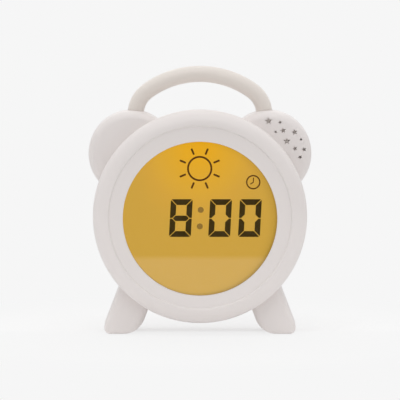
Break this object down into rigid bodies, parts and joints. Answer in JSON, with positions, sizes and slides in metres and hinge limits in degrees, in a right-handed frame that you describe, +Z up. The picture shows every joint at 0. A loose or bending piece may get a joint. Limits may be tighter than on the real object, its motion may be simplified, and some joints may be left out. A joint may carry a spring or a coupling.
{
  "type": "digital alarm clock",
  "caption": "Free-standing bedside alarm clock and night light with two round ears, splayed feet, an arched carry handle, a round backlit LCD, and keys and a battery bay at the back.",
  "frame": {"origin": "on the table, midway between the four rubber pads from side to side, and midway between the rim's front crest and the tops of the keys on the back", "axes": "+X to the right as seen from the front, +Y towards the back, +Z up; the display faces -Y"},
  "size_m": [0.1418, 0.062, 0.1705],
  "materials": {
    "shell": "satin",
    "handle": "satin",
    "rubber": "matte",
    "steel": "satin",
    "lens": "clear, polished",
    "foam": "matte",
    "lcd": "polished",
    "guide": "clear, polished",
    "white_sheet": "matte",
    "inner_plastic": "matte",
    "board": "solder mask",
    "led": "clear",
    "black_plastic": "matte",
    "keys": "satin",
    "key_amber": "satin",
    "cone": "matte",
    "cloth": "woven",
    "wire": "matte",
    "cell": "satin"
  },
  "bodies": {
    "root": {"front_shell": "shell", "rear_shell": "shell", "carry_handle": "handle", "rubber_feet": "rubber", "case_screws": "steel", "display_lens": "lens", "lens_gasket": "foam", "lcd_panel": "lcd", "light_guide": "guide", "reflector_sheet": "white_sheet", "display_carrier": "inner_plastic", "carrier_screws": "steel", "backlight_board": "board", "backlight_leds": "led", "zebra_strip": "foam", "main_board": "board", "main_board_screws": "steel", "controller_chip": "black_plastic", "filter_capacitors": "black_plastic", "clock_crystal": "steel", "wire_headers": "inner_plastic", "key_board": "board", "key_board_screws": "steel", "tact_switches": "black_plastic", "alarm_switch_body": "steel", "usb_socket": "steel", "usb_tongue": "black_plastic", "speaker_frame": "black_plastic", "speaker_cone": "cone", "speaker_magnet": "steel", "grille_cloth": "cloth", "speaker_wires": "wire", "battery_wires": "wire", "ribbon_cable": "wire", "aa_cells": "cell", "contact_plates": "steel", "contact_springs": "steel"},
    "key_time": {"button_time": "keys", "plunger_time": "inner_plastic"},
    "key_alarm": {"button_alarm": "keys", "plunger_alarm": "inner_plastic"},
    "key_down": {"button_down": "keys", "plunger_down": "inner_plastic"},
    "key_up": {"button_up": "keys", "plunger_up": "inner_plastic"},
    "key_light": {"button_light": "key_amber", "plunger_light": "inner_plastic"},
    "key_melody": {"button_melody": "keys", "plunger_melody": "inner_plastic"},
    "alarm_knob": {"alarm_switch_knob": "black_plastic"},
    "door": {"battery_door": "shell", "door_screw": "steel"}
  },
  "joints": [
    {"name": "press_time", "type": "slide", "parent": "root", "child": "key_time", "axis": [0, -1, 0], "range_m": [0, 0.001], "stiffness_N_per_m": 300},
    {"name": "press_alarm", "type": "slide", "parent": "root", "child": "key_alarm", "axis": [0, -1, 0], "range_m": [0, 0.001], "stiffness_N_per_m": 300},
    {"name": "press_down", "type": "slide", "parent": "root", "child": "key_down", "axis": [0, -1, 0], "range_m": [0, 0.001], "stiffness_N_per_m": 300},
    {"name": "press_up", "type": "slide", "parent": "root", "child": "key_up", "axis": [0, -1, 0], "range_m": [0, 0.001], "stiffness_N_per_m": 300},
    {"name": "press_light", "type": "slide", "parent": "root", "child": "key_light", "axis": [0, -1, 0], "range_m": [0, 0.001], "stiffness_N_per_m": 300},
    {"name": "press_melody", "type": "slide", "parent": "root", "child": "key_melody", "axis": [0, -1, 0], "range_m": [0, 0.001], "stiffness_N_per_m": 300},
    {"name": "slide_alarm", "type": "slide", "parent": "root", "child": "alarm_knob", "axis": [1, 0, 0], "range_m": [0, 0.004]},
    {"name": "open_door", "type": "hinge", "parent": "root", "child": "door", "pos_m": [0, 0.0288, 0.0888], "axis": [1, 0, 0], "range_deg": [0, 60]}
  ]
}
